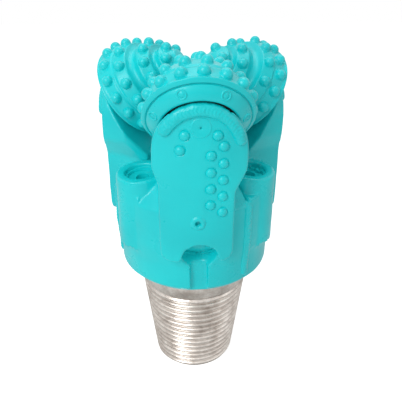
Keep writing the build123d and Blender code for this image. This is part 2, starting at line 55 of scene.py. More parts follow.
# every leg repeats leg 1, turned about the bit axis
def turnOf(number):
    return Matrix.Rotation((number - 1) * legPitch, 4, "Z")


# origin on the cone's own axis, with z along it towards the nose
def journalFrame(number):
    joint = frame["joints"][number - 1]
    along = Vector(joint["axis"]).normalized()
    side = turnOf(number).to_3x3() @ Vector((1, 0, 0))
    across = along.cross(side)
    place = Matrix((side, across, along)).transposed().to_4x4()
    place.translation = Vector(joint["pos_m"])
    return place


# a place at origin whose z looks out
def facing(origin, out):
    out = out.normalized()
    side = Vector((0, 0, 1)).cross(out)
    if side.length < 1e-4:
        side = Vector((1, 0, 0)).cross(out)
    side.normalize()
    place = Matrix((side, out.cross(side), out)).transposed().to_4x4()
    place.translation = origin
    return place


# every piece has one material and rides on one body
def addPiece(name, mesh, body, material):
    piece = bpy.data.objects.new(name, mesh)
    bpy.context.scene.collection.objects.link(piece)
    mesh.materials.clear()
    mesh.materials.append(material)
    for face in mesh.polygons:
        face.use_smooth = True
    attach(piece, body)
    return piece


def meshFrom(name, verts, faces):
    mesh = bpy.data.meshes.new(name)
    mesh.from_pydata([tuple(v) for v in verts], [], faces)
    mesh.update()
    return mesh


# profile runs up the outside as (radius, height), and a radius of 0 is a pole
def latheInto(verts, faces, profile, place, steps):
    rings = []
    for radius, height in profile:
        count = steps if radius > 1e-7 else 1
        ring = []
        for step in range(count):
            turn = 2 * math.pi * step / steps
            ring.append(len(verts))
            verts.append(place @ Vector((radius * math.cos(turn), radius * math.sin(turn), height)))
        rings.append(ring)
    for low, high in zip(rings, rings[1:]):
        for step in range(steps):
            after = (step + 1) % steps
            corners = (low[step % len(low)], low[after % len(low)],
                       high[after % len(high)], high[step % len(high)])
            corners = list(dict.fromkeys(corners))
            if len(corners) > 2:
                faces.append(corners)


def lathePiece(name, profile, places, body, material, steps):
    verts, faces = [], []
    for place in places:
        latheInto(verts, faces, profile, place, steps)
    return addPiece(name, meshFrom(name, verts, faces), body, material)


# each separate solid in a CAD node, as its faces: normal, area and corners
def looseSolids(node):
    bm = bmesh.new()
    bm.from_mesh(frame["nodes"][node].data)
    bmesh.ops.remove_doubles(bm, verts=bm.verts, dist=1e-6)
    bm.faces.ensure_lookup_table()
    seen, solids = set(), []
    for first in bm.faces:
        if first.index in seen:
            continue
        seen.add(first.index)
        island, waiting = [], [first]
        while waiting:
            face = waiting.pop()
            island.append((face.normal.copy(), face.calc_area(), [v.co.copy() for v in face.verts]))
            for edge in face.edges:
                for other in edge.link_faces:
                    if other.index not in seen:
                        seen.add(other.index)
                        waiting.append(other)
        solids.append(island)
    bm.free()
    return solids


# an insert's flat base gives its axis, and its top gives the steel line
def insertPlaces(node, height):
    places = []
    for solid in looseSolids(node):
        areas = {}
        for normal, area, corners in solid:
            key = tuple(round(value, 2) for value in normal)
            areas.setdefault(key, [0.0, normal])[0] += area
        axis = -max(areas.values(), key=lambda entry: entry[0])[1]
        corners = [corner for face in solid for corner in face[2]]
        base = min(corners, key=lambda corner: corner.dot(axis)).dot(axis)
        rim = [corner for corner in corners if corner.dot(axis) < base + 1e-5]
        centre = sum(rim, Vector()) / len(rim)
        top = max(corner.dot(axis) for corner in corners)
        places.append(facing(centre + axis * (top - height - base), axis))
    return places


# an effect that several materials share is a group, built once
def newGroup(name, inputs, outputs):
    group = bpy.data.node_groups.new(name, "ShaderNodeTree")
    for label, value in inputs:
        socket = group.interface.new_socket(label, in_out="INPUT", socket_type="NodeSocketFloat")
        socket.default_value = value
    for label in outputs:
        group.interface.new_socket(label, in_out="OUTPUT", socket_type="NodeSocketFloat")
    return group, group.nodes.new("NodeGroupInput"), group.nodes.new("NodeGroupOutput")


def link(tree, source, target):
    tree.links.new(source, target)


def mathNode(tree, operation, first, second):
    node = tree.nodes.new("ShaderNodeMath")
    node.operation = operation
    for index, value in enumerate((first, second)):
        if hasattr(value, "is_output"):
            link(tree, value, node.inputs[index])
        else:
            node.inputs[index].default_value = value
    return node.outputs[0]


def noiseNode(tree, vector, scale, detail, roughness=0.5):
    node = tree.nodes.new("ShaderNodeTexNoise")
    node.inputs["Detail"].default_value = detail
    node.inputs["Roughness"].default_value = roughness
    link(tree, vector, node.inputs["Vector"])
    if hasattr(scale, "is_output"):
        link(tree, scale, node.inputs["Scale"])
    else:
        node.inputs["Scale"].default_value = scale
    return node.outputs["Fac"]


filmNoise = {"peelDetail": 2.0, "sagDetail": 3.0, "tintScale": 18.0, "tintDetail": 4.0}


# thick sprayed enamel: slow sags, fine orange peel and a thin-to-thick tint
def buildPaintFilm():
    settings = [("Peel Scale", 420.0), ("Sag Scale", 60.0), ("Peel Share", 0.3)]
    group, given, out = newGroup("paintFilm", settings, ["Tint", "Height"])
    where = group.nodes.new("ShaderNodeTexCoord").outputs["Object"]
    peel = noiseNode(group, where, given.outputs["Peel Scale"], filmNoise["peelDetail"])
    sag = noiseNode(group, where, given.outputs["Sag Scale"], filmNoise["sagDetail"])
    peelPart = mathNode(group, "MULTIPLY", peel, given.outputs["Peel Share"])
    link(group, mathNode(group, "ADD", peelPart, sag), out.inputs["Height"])
    tint = noiseNode(group, where, filmNoise["tintScale"], filmNoise["tintDetail"])
    link(group, tint, out.inputs["Tint"])
    return group


markNoise = {"sideways": 6.0, "ringDetail": 2.0, "scratchDetail": 6.0, "scratchRoughness": 0.7}


# rings left by a lathe tool, with a little waviness and a few scratches
def buildToolMarks():
    settings = [("Rings", 2600.0), ("Scratch Scale", 90.0)]
    group, given, out = newGroup("toolMarks", settings, ["Rings", "Scratches"])
    where = group.nodes.new("ShaderNodeTexCoord").outputs["Object"]
    split = group.nodes.new("ShaderNodeSeparateXYZ")
    link(group, where, split.inputs[0])
    join = group.nodes.new("ShaderNodeCombineXYZ")
    link(group, mathNode(group, "MULTIPLY", split.outputs["X"], markNoise["sideways"]), join.inputs["X"])
    link(group, mathNode(group, "MULTIPLY", split.outputs["Y"], markNoise["sideways"]), join.inputs["Y"])
    link(group, mathNode(group, "MULTIPLY", split.outputs["Z"], given.outputs["Rings"]), join.inputs["Z"])
    rings = noiseNode(group, join.outputs[0], 1.0, markNoise["ringDetail"])
    link(group, rings, out.inputs["Rings"])
    scratches = noiseNode(group, where, given.outputs["Scratch Scale"], markNoise["scratchDetail"],
                          markNoise["scratchRoughness"])
    link(group, scratches, out.inputs["Scratches"])
    return group


paintFilm = buildPaintFilm()
toolMarks = buildToolMarks()


def newMaterial(name):
    material = bpy.data.materials.new(name)
    material.use_nodes = True
    tree = material.node_tree
    return material, tree, tree.nodes["Principled BSDF"]


def useGroup(tree, group, **values):
    node = tree.nodes.new("ShaderNodeGroup")
    node.node_tree = group
    for label, value in values.items():
        node.inputs[label.replace("_", " ")].default_value = value
    return node


def rampBetween(tree, factor, low, high, start=0.35, end=0.65):
    ramp = tree.nodes.new("ShaderNodeValToRGB")
    ramp.color_ramp.elements[0].position = start
    ramp.color_ramp.elements[1].position = end
    ramp.color_ramp.elements[0].color = (*low, 1)
    ramp.color_ramp.elements[1].color = (*high, 1)
    link(tree, factor, ramp.inputs["Fac"])
    return ramp.outputs["Color"]


noiseSpan = (0.3, 0.7)  # nearly all of a noise texture's values lie between these


def rangeOf(tree, factor, low, high):
    node = tree.nodes.new("ShaderNodeMapRange")
    node.inputs["From Min"].default_value = noiseSpan[0]
    node.inputs["From Max"].default_value = noiseSpan[1]
    node.inputs["To Min"].default_value = low
    node.inputs["To Max"].default_value = high
    link(tree, factor, node.inputs["Value"])
    return node.outputs["Result"]


def bumpFrom(tree, shader, height, strength, distance):
    bump = tree.nodes.new("ShaderNodeBump")
    bump.inputs["Strength"].default_value = strength
    bump.inputs["Distance"].default_value = distance
    link(tree, height, bump.inputs["Height"])
    link(tree, bump.outputs["Normal"], shader.inputs["Normal"])


enamel = {
    "thin": (0.004, 0.62, 0.66),
    "thick": (0.006, 0.72, 0.75),
    "gloss": (0.22, 0.34),
    "bump": 0.35,
    "depth": 0.25 * mm,
    "coat": 0.08,
    "coatRoughness": 0.08,
    "specular": 0.38,
}


def paintMaterial(name, look, peelShare=0.3, sagScale=60.0):
    material, tree, shader = newMaterial(name)
    film = useGroup(tree, paintFilm, Peel_Share=peelShare, Sag_Scale=sagScale)
    tint = rampBetween(tree, film.outputs["Tint"], look["thin"], look["thick"])
    link(tree, tint, shader.inputs["Base Color"])
    link(tree, rangeOf(tree, film.outputs["Height"], *look["gloss"]), shader.inputs["Roughness"])
    shader.inputs["Coat Weight"].default_value = look["coat"]
    shader.inputs["Coat Roughness"].default_value = look["coatRoughness"]
    shader.inputs["Specular IOR Level"].default_value = look["specular"]
    bumpFrom(tree, shader, film.outputs["Height"], look["bump"], look["depth"])
    return material


def steelMaterial(name, look, rings=2600.0, bump=0.25, depth=0.05 * mm):
    material, tree, shader = newMaterial(name)
    marks = useGroup(tree, toolMarks, Rings=rings)
    tint = rampBetween(tree, marks.outputs["Scratches"], look["dark"], look["light"])
    link(tree, tint, shader.inputs["Base Color"])
    link(tree, rangeOf(tree, marks.outputs["Rings"], *look["gloss"]), shader.inputs["Roughness"])
    shader.inputs["Metallic"].default_value = 1.0
    bumpFrom(tree, shader, marks.outputs["Rings"], bump, depth)
    return material


def rubberMaterial(name, look, peelScale=900.0):
    material, tree, shader = newMaterial(name)
    film = useGroup(tree, paintFilm, Peel_Scale=peelScale)
    tint = rampBetween(tree, film.outputs["Tint"], look["dark"], look["light"])
    link(tree, tint, shader.inputs["Base Color"])
    link(tree, rangeOf(tree, film.outputs["Height"], *look["gloss"]), shader.inputs["Roughness"])
    return material


forgedEnamel = dict(enamel, bump=0.6, depth=0.5 * mm)
weldEnamel = dict(enamel, bump=0.9, depth=0.5 * mm)
bareSteel = {"dark": (0.42, 0.37, 0.33), "light": (0.74, 0.69, 0.64), "gloss": (0.22, 0.40)}
greySteel = {"dark": (0.3, 0.3, 0.3), "light": (0.5, 0.5, 0.5), "gloss": (0.25, 0.4)}
bearingBronze = {"dark": (0.45, 0.28, 0.12), "light": (0.62, 0.42, 0.2), "gloss": (0.25, 0.4)}
sealRubber = {"dark": (0.012, 0.012, 0.012), "light": (0.03, 0.03, 0.03), "gloss": (0.55, 0.75)}
paint = paintMaterial("turquoiseEnamel", enamel)
castPaint = paintMaterial("enamelOnForging", forgedEnamel, peelShare=0.2, sagScale=45.0)
weldPaint = paintMaterial("enamelOnWeld", weldEnamel, peelShare=0.5, sagScale=240.0)
pinSteel = steelMaterial("turnedPinSteel", bareSteel)
springSteel = steelMaterial("springSteel", greySteel)
bronze = steelMaterial("bearingBronze", bearingBronze)
rubber = rubberMaterial("sealRubber", sealRubber)
print("materials ready")


# CAD nodes that keep their own shape and only get a material
ownShape = {
    "bearing_balls": springSteel,
    "cone_bushing": bronze,
    "thrust_washer": bronze,
    "cone_seal": rubber,
    "nozzle_seal": rubber,
    "reservoir_diaphragm": rubber,
    "reservoir_cap": paint,
    "reservoir_ring": paint,
    "nozzle": paint,
    "nozzle_ring": paint,
}
for kind, material in ownShape.items():
    for number in legNumbers:
        shape = frame["nodes"][f"{kind}_{number}"].data
        shape.materials.clear()
        shape.materials.append(material)
dowels = frame["nodes"]["dowel_pins"].data
dowels.materials.clear()
dowels.materials.append(springSteel)


# legs: the CAD leg with its edges rounded as on a painted forging
leg = {
    "voxel": 0.9 * mm,
    "rounding": 7,  # passes of smoothing
    "smoothing": 0.5,
    "shoulder": 95.25 * mm,
    "trim": 0.15 * mm,  # the leg starts this far above the make-up shoulder
    "waviness": 0.22 * mm,
    "waveLength": 13 * mm,
}
# jet boss: a tube at an angle about the bit axis, whose bore leans outwards, both in degrees
boss = {
    "angle": -60.0, "lean": 6.0, "reach": 44.0 * mm, "radius": 18.2 * mm,
    "top": 177.0 * mm, "bottom": 122.0 * mm,
    "mouth": 11.9 * mm, "mouthDepth": 5.0 * mm, "bore": 10.7 * mm, "boreDepth": 23.5 * mm,
    "steps": 64,
}


# the jet's place in the middle of the boss's top face, and the way out from the bit axis
def bossFrame(number):
    bearing = math.radians(boss["angle"])
    out = Vector((math.sin(bearing), -math.cos(bearing), 0))
    lean = math.radians(boss["lean"])
    axis = out * math.sin(lean) + Vector((0, 0, math.cos(lean)))
    place = facing(out * boss["reach"] + Vector((0, 0, boss["top"])), axis)
    return turnOf(number) @ place, turnOf(number).to_3x3() @ out


# upright outside wall, leaning bore, and a step where the jet sits
def bossTube(number):
    place, out = bossFrame(number)
    foot = Vector((place.translation.x, place.translation.y, boss["bottom"]))
    wall, fall = boss["top"] - boss["bottom"], math.tan(math.radians(boss["lean"]))
    bore = ((boss["mouth"], 0), (boss["mouth"], boss["mouthDepth"]),
            (boss["bore"], boss["mouthDepth"]), (boss["bore"], boss["boreDepth"]))
    verts, faces = [], []
    for step in range(boss["steps"]):
        turn = 2 * math.pi * step / boss["steps"]
        around = place.to_3x3() @ Vector((math.cos(turn), math.sin(turn), 0))
        level = Vector((around.x, around.y, 0)).normalized() * boss["radius"]
        top = Vector((0, 0, wall - level.dot(out) * fall))
        verts += [foot + level, foot + level + top]
        for radius, depth in bore:
            verts.append(place @ Vector((radius * math.cos(turn), radius * math.sin(turn), -depth)))
    loop = 2 + len(bore)
    for step in range(boss["steps"]):
        here, after = step * loop, (step + 1) % boss["steps"] * loop
        for index in range(loop):
            onward = (index + 1) % loop
            faces.append((here + index, after + index, after + onward, here + onward))
    return verts, faces


# solid body beside the boss, up to the seam: from and to in degrees about the bit axis
shoulder = {
    "from": -83.6, "to": -44.0, "inner": 30 * mm, "outer": 58.3 * mm,
    "bottom": 124 * mm, "top": 167 * mm, "fall": 2.5 * mm,
    "steps": 14,
}


def shoulderBlock(number):
    verts, faces = [], []
    section = [(shoulder["inner"], shoulder["bottom"]), (shoulder["outer"], shoulder["bottom"]),
               (shoulder["outer"], shoulder["top"] - shoulder["fall"]), (shoulder["inner"], shoulder["top"])]
    for step in range(shoulder["steps"] + 1):
        share = step / shoulder["steps"]
        bearing = math.radians(shoulder["from"] + (shoulder["to"] - shoulder["from"]) * share)
        for reach, height in section:
            corner = Vector((reach * math.sin(bearing), -reach * math.cos(bearing), height))
            verts.append(turnOf(number) @ corner)
    loop = len(section)
    for step in range(shoulder["steps"]):
        here = step * loop
        for index in range(loop):
            onward = (index + 1) % loop
            faces.append((here + index, here + onward, here + loop + onward, here + loop + index))
    last = shoulder["steps"] * loop
    faces += [(0, 1, 2, 3), (last + 3, last + 2, last + 1, last)]
    return verts, faces


def joinInto(bm, verts, faces):
    made = [bm.verts.new(vert) for vert in verts]
    fresh = [bm.faces.new([made[index] for index in face]) for face in faces]
    bmesh.ops.recalc_face_normals(bm, faces=fresh)


# a copy of a CAD leg, trimmed, with the added solids joined on and its edges rounded
def softened(node, added):
    bm = bmesh.new()
    bm.from_mesh(frame["nodes"][node].data)
    bmesh.ops.remove_doubles(bm, verts=bm.verts, dist=1e-6)
    everything = bm.verts[:] + bm.edges[:] + bm.faces[:]
    foot = (0, 0, leg["shoulder"] + leg["trim"])
    bmesh.ops.bisect_plane(bm, geom=everything, plane_co=foot, plane_no=(0, 0, 1), clear_inner=True)
    rim = [edge for edge in bm.edges if edge.is_boundary]
    bmesh.ops.triangle_fill(bm, edges=rim, use_beauty=True)
    for verts, faces in added:
        joinInto(bm, verts, faces)
    mesh = bpy.data.meshes.new(node + "Rough")
    bm.to_mesh(mesh)
    bm.free()
    rough = bpy.data.objects.new(node + "Rough", mesh)
    bpy.context.scene.collection.objects.link(rough)
    remesh = rough.modifiers.new("remesh", "REMESH")
    remesh.mode = "VOXEL"
    remesh.voxel_size = leg["voxel"]
    smooth = rough.modifiers.new("smooth", "SMOOTH")
    smooth.factor = leg["smoothing"]
    smooth.iterations = leg["rounding"]
    depsgraph = bpy.context.evaluated_depsgraph_get()
    done = bpy.data.meshes.new_from_object(rough.evaluated_get(depsgraph))
    bpy.data.objects.remove(rough)
    return done


for number in legNumbers:
    mesh = softened(f"leg_{number}", [bossTube(number), shoulderBlock(number)])
    normals = [vert.normal.copy() for vert in mesh.vertices]  # kept, because a moved vertex makes them stale
    for vert, normal in zip(mesh.vertices, normals):
        vert.co += normal * noise.noise(vert.co / leg["waveLength"]) * leg["waviness"]
    piece = addPiece(f"legForging_{number}", mesh, "bit_body", castPaint)
    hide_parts(f"leg_{number}")
    print("leg", number, len(mesh.polygons), "faces")


# pin: a turned cone with a real thread on it, and the bore through it
pin = {
    "endRadius": 32.54 * mm,
    "taper": 1 / 8,  # of the radius along the pin
    "neckRadius": 42.9 * mm,
    "neckStart": 82.55 * mm,
    "neckRun": 1.5 * mm,
    "top": 95.45 * mm,
    "boreRadius": 19.0 * mm,
    "boreChamfer": 1.2 * mm,
    "pitch": 5.08 * mm,
    "depth": 2.9 * mm,
    "threadTop": 80.5 * mm,
    "chamfer": 2.5 * mm,
    "steps": 144,
}
# one pitch of the thread as (share of the pitch, share of the depth)
threadForm = [(0.0, 0.0), (0.17, 0.0), (0.20, 0.03), (0.36, 0.5), (0.52, 0.97), (0.56, 1.0),
              (0.62, 1.0), (0.66, 0.97), (0.82, 0.5), (0.97, 0.03)]


def pinMesh():
    steps, pitch = pin["steps"], pin["pitch"]
    turns = int(pin["neckStart"] / pitch) + 3  # spare turns, since both ends of the helix are clipped
    rows = turns * len(threadForm)
    verts, faces = [], []
    for step in range(steps):
        turn = 2 * math.pi * step / steps
        for row in range(rows):
            share, cut = threadForm[row % len(threadForm)]
            height = (row // len(threadForm) - 1 + share - 1 + step / steps) * pitch
            height = min(max(height, 0.0), pin["neckStart"])
            fade = min(1.0, max(0.0, (pin["threadTop"] - height) / pitch))
            radius = pin["endRadius"] + height * pin["taper"] - cut * fade * pin["depth"]
            radius = min(radius, pin["endRadius"] - pin["chamfer"] + height)
            verts.append(Vector((radius * math.cos(turn), radius * math.sin(turn), height)))
    for step in range(steps):
        for row in range(rows - 1):
            low = step * rows + row
            if step + 1 < steps:
                faces.append((low, low + rows, low + rows + 1, low + 1))
            elif row + len(threadForm) + 1 < rows:
                faces.append((low, row + len(threadForm), row + len(threadForm) + 1, low + 1))
    edge = pin["endRadius"] - pin["chamfer"]
    neckFoot = pin["endRadius"] + pin["neckStart"] * pin["taper"]
    around = [(edge, 0.0), (pin["boreRadius"] + pin["boreChamfer"], 0.0),
              (pin["boreRadius"], pin["boreChamfer"]), (pin["boreRadius"], pin["top"]),
              (pin["neckRadius"], pin["top"]), (pin["neckRadius"], pin["neckStart"] + pin["neckRun"]),
              (neckFoot, pin["neckStart"])]
    latheInto(verts, faces, around[::-1], Matrix.Identity(4), steps)
    mesh = meshFrom("threadedPin", verts, faces)
    bm = bmesh.new()
    bm.from_mesh(mesh)
    bmesh.ops.remove_doubles(bm, verts=bm.verts, dist=2e-5)
    bmesh.ops.dissolve_degenerate(bm, edges=bm.edges, dist=1e-6)
    bmesh.ops.recalc_face_normals(bm, faces=bm.faces)
    bm.to_mesh(mesh)
    bm.free()
    return mesh


threadedPin = addPiece("threadedPin", pinMesh(), "bit_body", pinSteel)
print("pin threaded")


# cones: turned steel bodies, in mm as (out from the axis, along from the outer ring edge to the nose)
cone = {
    "steps": 176, "back": -7.2, "heelInner": 25.4, "ringRadius": 35.3,
    "rimWidth": 2.9, "grooveWidth": 1.2, "grooveDepth": 1.6, "lip": 0.15,
    "land": 4.3, "firstArc": 0.8, "grooveArc": {1: 3.4, 2: 3.8, 3: 3.4}, "arcPoints": 14,
    "nose": {1: 41.5, 2: 44.5, 3: 47.5}, "noseEdge": 1.6, "noseCrown": 0.4,
    "step": 0.5, "rounding": 3,
    # room for the journal and its bearing, from the pilot's end back to the seal gland
    "cavity": [(0.0, 35.5), (11.0, 35.5), (11.0, 26.6), (18.8, 26.6), (18.8, 22.8), (22.7, 22.8),
               (22.7, 0.0), (23.6, -2.0)],
    # (out, rise above the back)
    "backFace": [(23.6, 0.4), (24.0, 0.0), (25.0, 0.0), (25.6, 0.15)],
    "ringEdge": [(35.3, 0.25), (35.1, 0.8)],
}
# a row is how far along, how far out, its lean in degrees, the count and the turn of the first
gaugeRow = (6.4, 33.1, 10, 16, 3.0)
innerRows = {
    1: [(18.4, 28.6, 28, 14, 9.0), (29.0, 20.4, 44, 10, 5.0), (36.8, 12.0, 52, 5, 0.0)],
    2: [(16.4, 30.6, 28, 13, 0.0), (31.0, 19.4, 42, 9, 10.0), (41.6, 9.6, 58, 4, 20.0)],
    3: [(17.2, 29.8, 26, 14, 8.0), (31.4, 20.6, 38, 11, 0.0), (42.4, 10.2, 48, 6, 12.0)],
}


# a place on the sloping heel band, measured in from the ring edge and down into the steel
def bandPoint(inwards, deep=0.0):
    run = Vector((cone["ringRadius"] - cone["heelInner"], -cone["back"])).normalized()
    return Vector((cone["ringRadius"], 0)) - run * inwards + Vector((-run.y, run.x)) * deep


def grooveBetween(start, end, deep):
    count = cone["arcPoints"]
    across = end - start
    inward = Vector((-across.y, across.x)).normalized()
    points = []
    for step in range(1, count):
        share = step / count
        points.append(start + across * share + inward * deep * 4 * share * (1 - share))
    return points


def coneOutline(number):
    rim, slot, deep = cone["rimWidth"], cone["grooveWidth"], cone["grooveDepth"]
    lip = cone["lip"]
    edge = [Vector(point) for point in cone["ringEdge"]]
    back = [Vector(point) for point in cone["cavity"]]
    back += [Vector((out, cone["back"] + rise)) for out, rise in cone["backFace"]]
    back += [bandPoint(rim + slot + 0.2), bandPoint(rim + slot, lip), bandPoint(rim + slot * 0.8, deep),
             bandPoint(rim + slot * 0.2, deep), bandPoint(rim, lip), bandPoint(rim - 0.25),
             bandPoint(0.5), bandPoint(0.12, 0.04)] + edge
    path = [edge[-1]]
    for index, row in enumerate([gaugeRow] + innerRows[number]):
        along, out, lean = row[:3]
        slope = Vector((-math.sin(math.radians(lean)), math.cos(math.radians(lean)))) * cone["land"]
        near, far = Vector((out, along)) - slope, Vector((out, along)) + slope
        if index == 1:
            path += grooveBetween(path[-1], near, cone["firstArc"])
        elif index > 1:
            path += grooveBetween(path[-1], near, cone["grooveArc"][number])
        path += [near, far]
    nose = cone["nose"][number]
    path += [Vector((path[-1].x - cone["noseEdge"], nose)), Vector((0, nose + cone["noseCrown"]))]
    fine = [path[0]]
    for start, end in zip(path, path[1:]):
        pieces = max(1, math.ceil((end - start).length / cone["step"]))
        fine += [start.lerp(end, step / pieces) for step in range(1, pieces + 1)]
    for turn in range(cone["rounding"]):
        fine = [fine[0]] + [(a + 2 * b + c) / 4 for a, b, c in zip(fine, fine[1:], fine[2:])] + [fine[-1]]
    return [(point.x * mm, point.y * mm) for point in back + fine[1:-1]] + [(0.0, fine[-1].y * mm)]


def rowPlaces(number, row):
    along, out, lean, count, first = row
    places = []
    for step in range(count):
        turn = math.radians(first + step * 360 / count - 90)
        around = Vector((math.cos(turn), math.sin(turn), 0))
        axis = around * math.cos(math.radians(lean)) + Vector((0, 0, math.sin(math.radians(lean))))
        places.append(journalFrame(number) @ facing((around * out + Vector((0, 0, along))) * mm, axis))
    return places


for number in legNumbers:
    piece = lathePiece(f"coneBody_{number}", coneOutline(number), [journalFrame(number)],
                       f"cone_assembly_{number}", paint, cone["steps"])
    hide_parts(f"cone_{number}")
print("cones turned")


# carbide inserts: domes with the fillet that thick paint leaves round their feet
def domeOutline(radius, height, foot, sink, sharpness=0.9, arcs=9):
    points = [(radius + foot, -sink), (radius + foot * 0.45, -sink * 0.3),
              (radius + foot * 0.15, 0.35 * mm), (radius + foot * 0.03, 0.7 * mm)]
    rise = radius * sharpness
    sphere = (radius**2 + rise**2) / (2 * rise)
    whole = math.asin(min(1.0, radius / sphere))
    for step in range(arcs + 1):
        angle = whole * (1 - step / arcs)
        points.append((sphere * math.sin(angle), height - sphere * (1 - math.cos(angle))))
    points[-1] = (0.0, height)
    return points


inserts = {
    "gauge": {"radius": 3.85 * mm, "height": 4.3 * mm, "foot": 0.8 * mm, "sink": 0.8 * mm, "steps": 36},
    "inner": {"radius": 3.7 * mm, "height": 4.3 * mm, "foot": 0.8 * mm, "sink": 0.9 * mm, "steps": 36},
}
for kind, size in inserts.items():
    outline = domeOutline(size["radius"], size["height"], size["foot"], size["sink"])
    for number in legNumbers:
        rows = [gaugeRow] if kind == "gauge" else innerRows[number]
        places = [place for row in rows for place in rowPlaces(number, row)]
        piece = lathePiece(f"{kind}Domes_{number}", outline, places, f"cone_assembly_{number}", paint,
                           size["steps"])
        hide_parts(f"{kind}_inserts_{number}")

# heel inserts lie flush, with a ring of paint standing round each
heel = {"radius": 2.7 * mm, "out": 28.9, "count": 7, "first": -22.7, "steps": 32}
heelOutline = [(heel["radius"] + 0.75 * mm, -0.4 * mm), (heel["radius"] + 0.5 * mm, 0.22 * mm),
               (heel["radius"] + 0.1 * mm, 0.6 * mm), (heel["radius"] - 0.35 * mm, 0.45 * mm),
               (heel["radius"] - 0.55 * mm, -0.02 * mm), (heel["radius"] - 0.85 * mm, -0.02 * mm),
               (heel["radius"] - 1.05 * mm, 0.22 * mm), (0.0, 0.3 * mm)]
bandRun = cone["ringRadius"] - cone["heelInner"]
heelRow = (cone["back"] * (cone["ringRadius"] - heel["out"]) / bandRun, heel["out"],
           math.degrees(math.atan2(-bandRun, -cone["back"])), heel["count"], heel["first"])
for number in legNumbers:
    piece = lathePiece(f"heelFlats_{number}", heelOutline, rowPlaces(number, heelRow),
                       f"cone_assembly_{number}", paint, heel["steps"])
    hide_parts(f"heel_inserts_{number}")

# buttons on the pads keep the CAD's places
button = {"radius": 3.05 * mm, "height": 2.25 * mm, "foot": 0.4 * mm, "sink": 0.5 * mm, "steps": 36}
buttonOutline = [(button["radius"] + button["foot"], -button["sink"]),
                 (button["radius"] + 0.12 * mm, 0.1 * mm), (button["radius"], 0.55 * mm),
                 (button["radius"] * 0.88, 1.18 * mm), (button["radius"] * 0.66, 1.75 * mm),
                 (button["radius"] * 0.36, 2.12 * mm), (0.0, button["height"])]
for number in legNumbers:
    node = f"shirttail_buttons_{number}"
    piece = lathePiece(f"padButtons_{number}", buttonOutline, insertPlaces(node, button["height"]),
                       "bit_body", paint, button["steps"])
    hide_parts(node)
print("inserts set")


# how every weld bead is formed: lengths in mm, the rest are shares of its width or height
bead = {
    "sections": 16,
    "endPower": 20,  # higher ends it more suddenly
    "endRise": 0.02, "endWidth": 0.3,
    "bow": 1.6,  # how far the ripples trail back at the sides
    "swell": 0.92, "lumps": 0.16, "lumpStep": 0.05, "lumpAcross": 1.5,
    "wander": 0.07, "wanderStep": 0.09,
    "roundness": 0.8,
    "tuck": 0.35,  # the edges dip this far into the steel
    "footWidth": 0.8, "footDepth": 0.8,
}


# path holds the centres, the ways across and the ways out along the bead
def beadMesh(name, path, width, height, ripple, seed, ripples=0.06):
    centre, across, out = path
    sections, loop = bead["sections"], bead["sections"] + 1
    verts, faces = [], []
    count = len(centre)
    for index in range(count):
        share = index / (count - 1)
        ends = math.sqrt(max(0.0, 1 - (2 * share - 1) ** bead["endPower"]))
        ends = min(1.0, ends + bead["endRise"])
        for step in range(loop):
            side = 2 * step / sections - 1
            phase = index * ripple + bead["bow"] * side * side
            wave = 0.5 + 0.5 * math.cos(2 * math.pi * phase)
            lump = noise.noise(Vector((index * bead["lumpStep"], side * bead["lumpAcross"], seed)))
            edge = 1 + bead["wander"] * noise.noise(Vector((index * bead["wanderStep"], seed, side)))
            dome = math.sqrt(max(0.0, 1 - side**2))
            swell = bead["swell"] + ripples * wave + bead["lumps"] * lump
            rise = height * dome ** bead["roundness"] * swell * ends - bead["tuck"] * mm * (1 - dome)
            sideways = across[index] * side * width / 2 * edge * max(ends, bead["endWidth"])
            verts.append(centre[index] + sideways + out[index] * rise)
        if index:
            low = (index - 1) * loop
            for corner in range(low, low + sections):
                faces.append((corner, corner + 1, corner + loop + 1, corner + loop))
    first = list(range(loop))
    last = [(count - 1) * loop + step for step in range(loop)]
    faces.append(tuple(first))
    faces.append(tuple(reversed(last)))
    under = len(verts)
    for index in range(count):
        for side in (-1, 1):
            sideways = across[index] * side * width / 2 * bead["footWidth"]
            verts.append(centre[index] + sideways - out[index] * bead["footDepth"] * mm)
    for index in range(count - 1):
        corner = under + 2 * index
        faces.append((corner, corner + 2, corner + 3, corner + 1))
    mesh = meshFrom(name, verts, faces)
    bm = bmesh.new()
    bm.from_mesh(mesh)
    bmesh.ops.recalc_face_normals(bm, faces=bm.faces)
    bm.to_mesh(mesh)
    bm.free()
    return mesh


# shirttail bead, in mm: an arch on the round pad, with its rise above the height where it is widest
shirttail = {
    "half": 29.8, "rise": 34.5, "height": 203.0, "padRadius": 67.0,
    "leftEnd": 216.0, "rightEnd": 209.0, "sideMargin": 0.2, "topMargin": 1.0,
    "beadWidth": 8.2, "beadHeight": 3.1, "ripple": 0.125, "steps": 240, "seed": 7.3,
}


def shirttailPath(number):
    half = shirttail["half"] - shirttail["beadWidth"] / 2 - shirttail["sideMargin"]
    rise = shirttail["rise"] - shirttail["beadWidth"] / 2 - shirttail["topMargin"]
    start = math.asin((shirttail["rightEnd"] - shirttail["height"]) / rise)
    end = math.pi - math.asin((shirttail["leftEnd"] - shirttail["height"]) / rise)
    turn = turnOf(number)
    centre, across, out = [], [], []
    for index in range(shirttail["steps"] + 1):
        angle = start + (end - start) * index / shirttail["steps"]
        x = half * math.cos(angle)
        z = shirttail["height"] + rise * math.sin(angle)
        depth = math.sqrt(shirttail["padRadius"] ** 2 - x**2)
        normal = Vector((x, -depth, 0)).normalized()
        along = Vector((-half * math.sin(angle), 0, rise * math.cos(angle)))
        along = (along - normal * along.dot(normal)).normalized()
        side = along.cross(normal).normalized()
        centre.append(turn @ (Vector((x, -depth, z)) * mm))
        across.append(turn.to_3x3() @ side)
        out.append(turn.to_3x3() @ normal)
    return centre, across, out


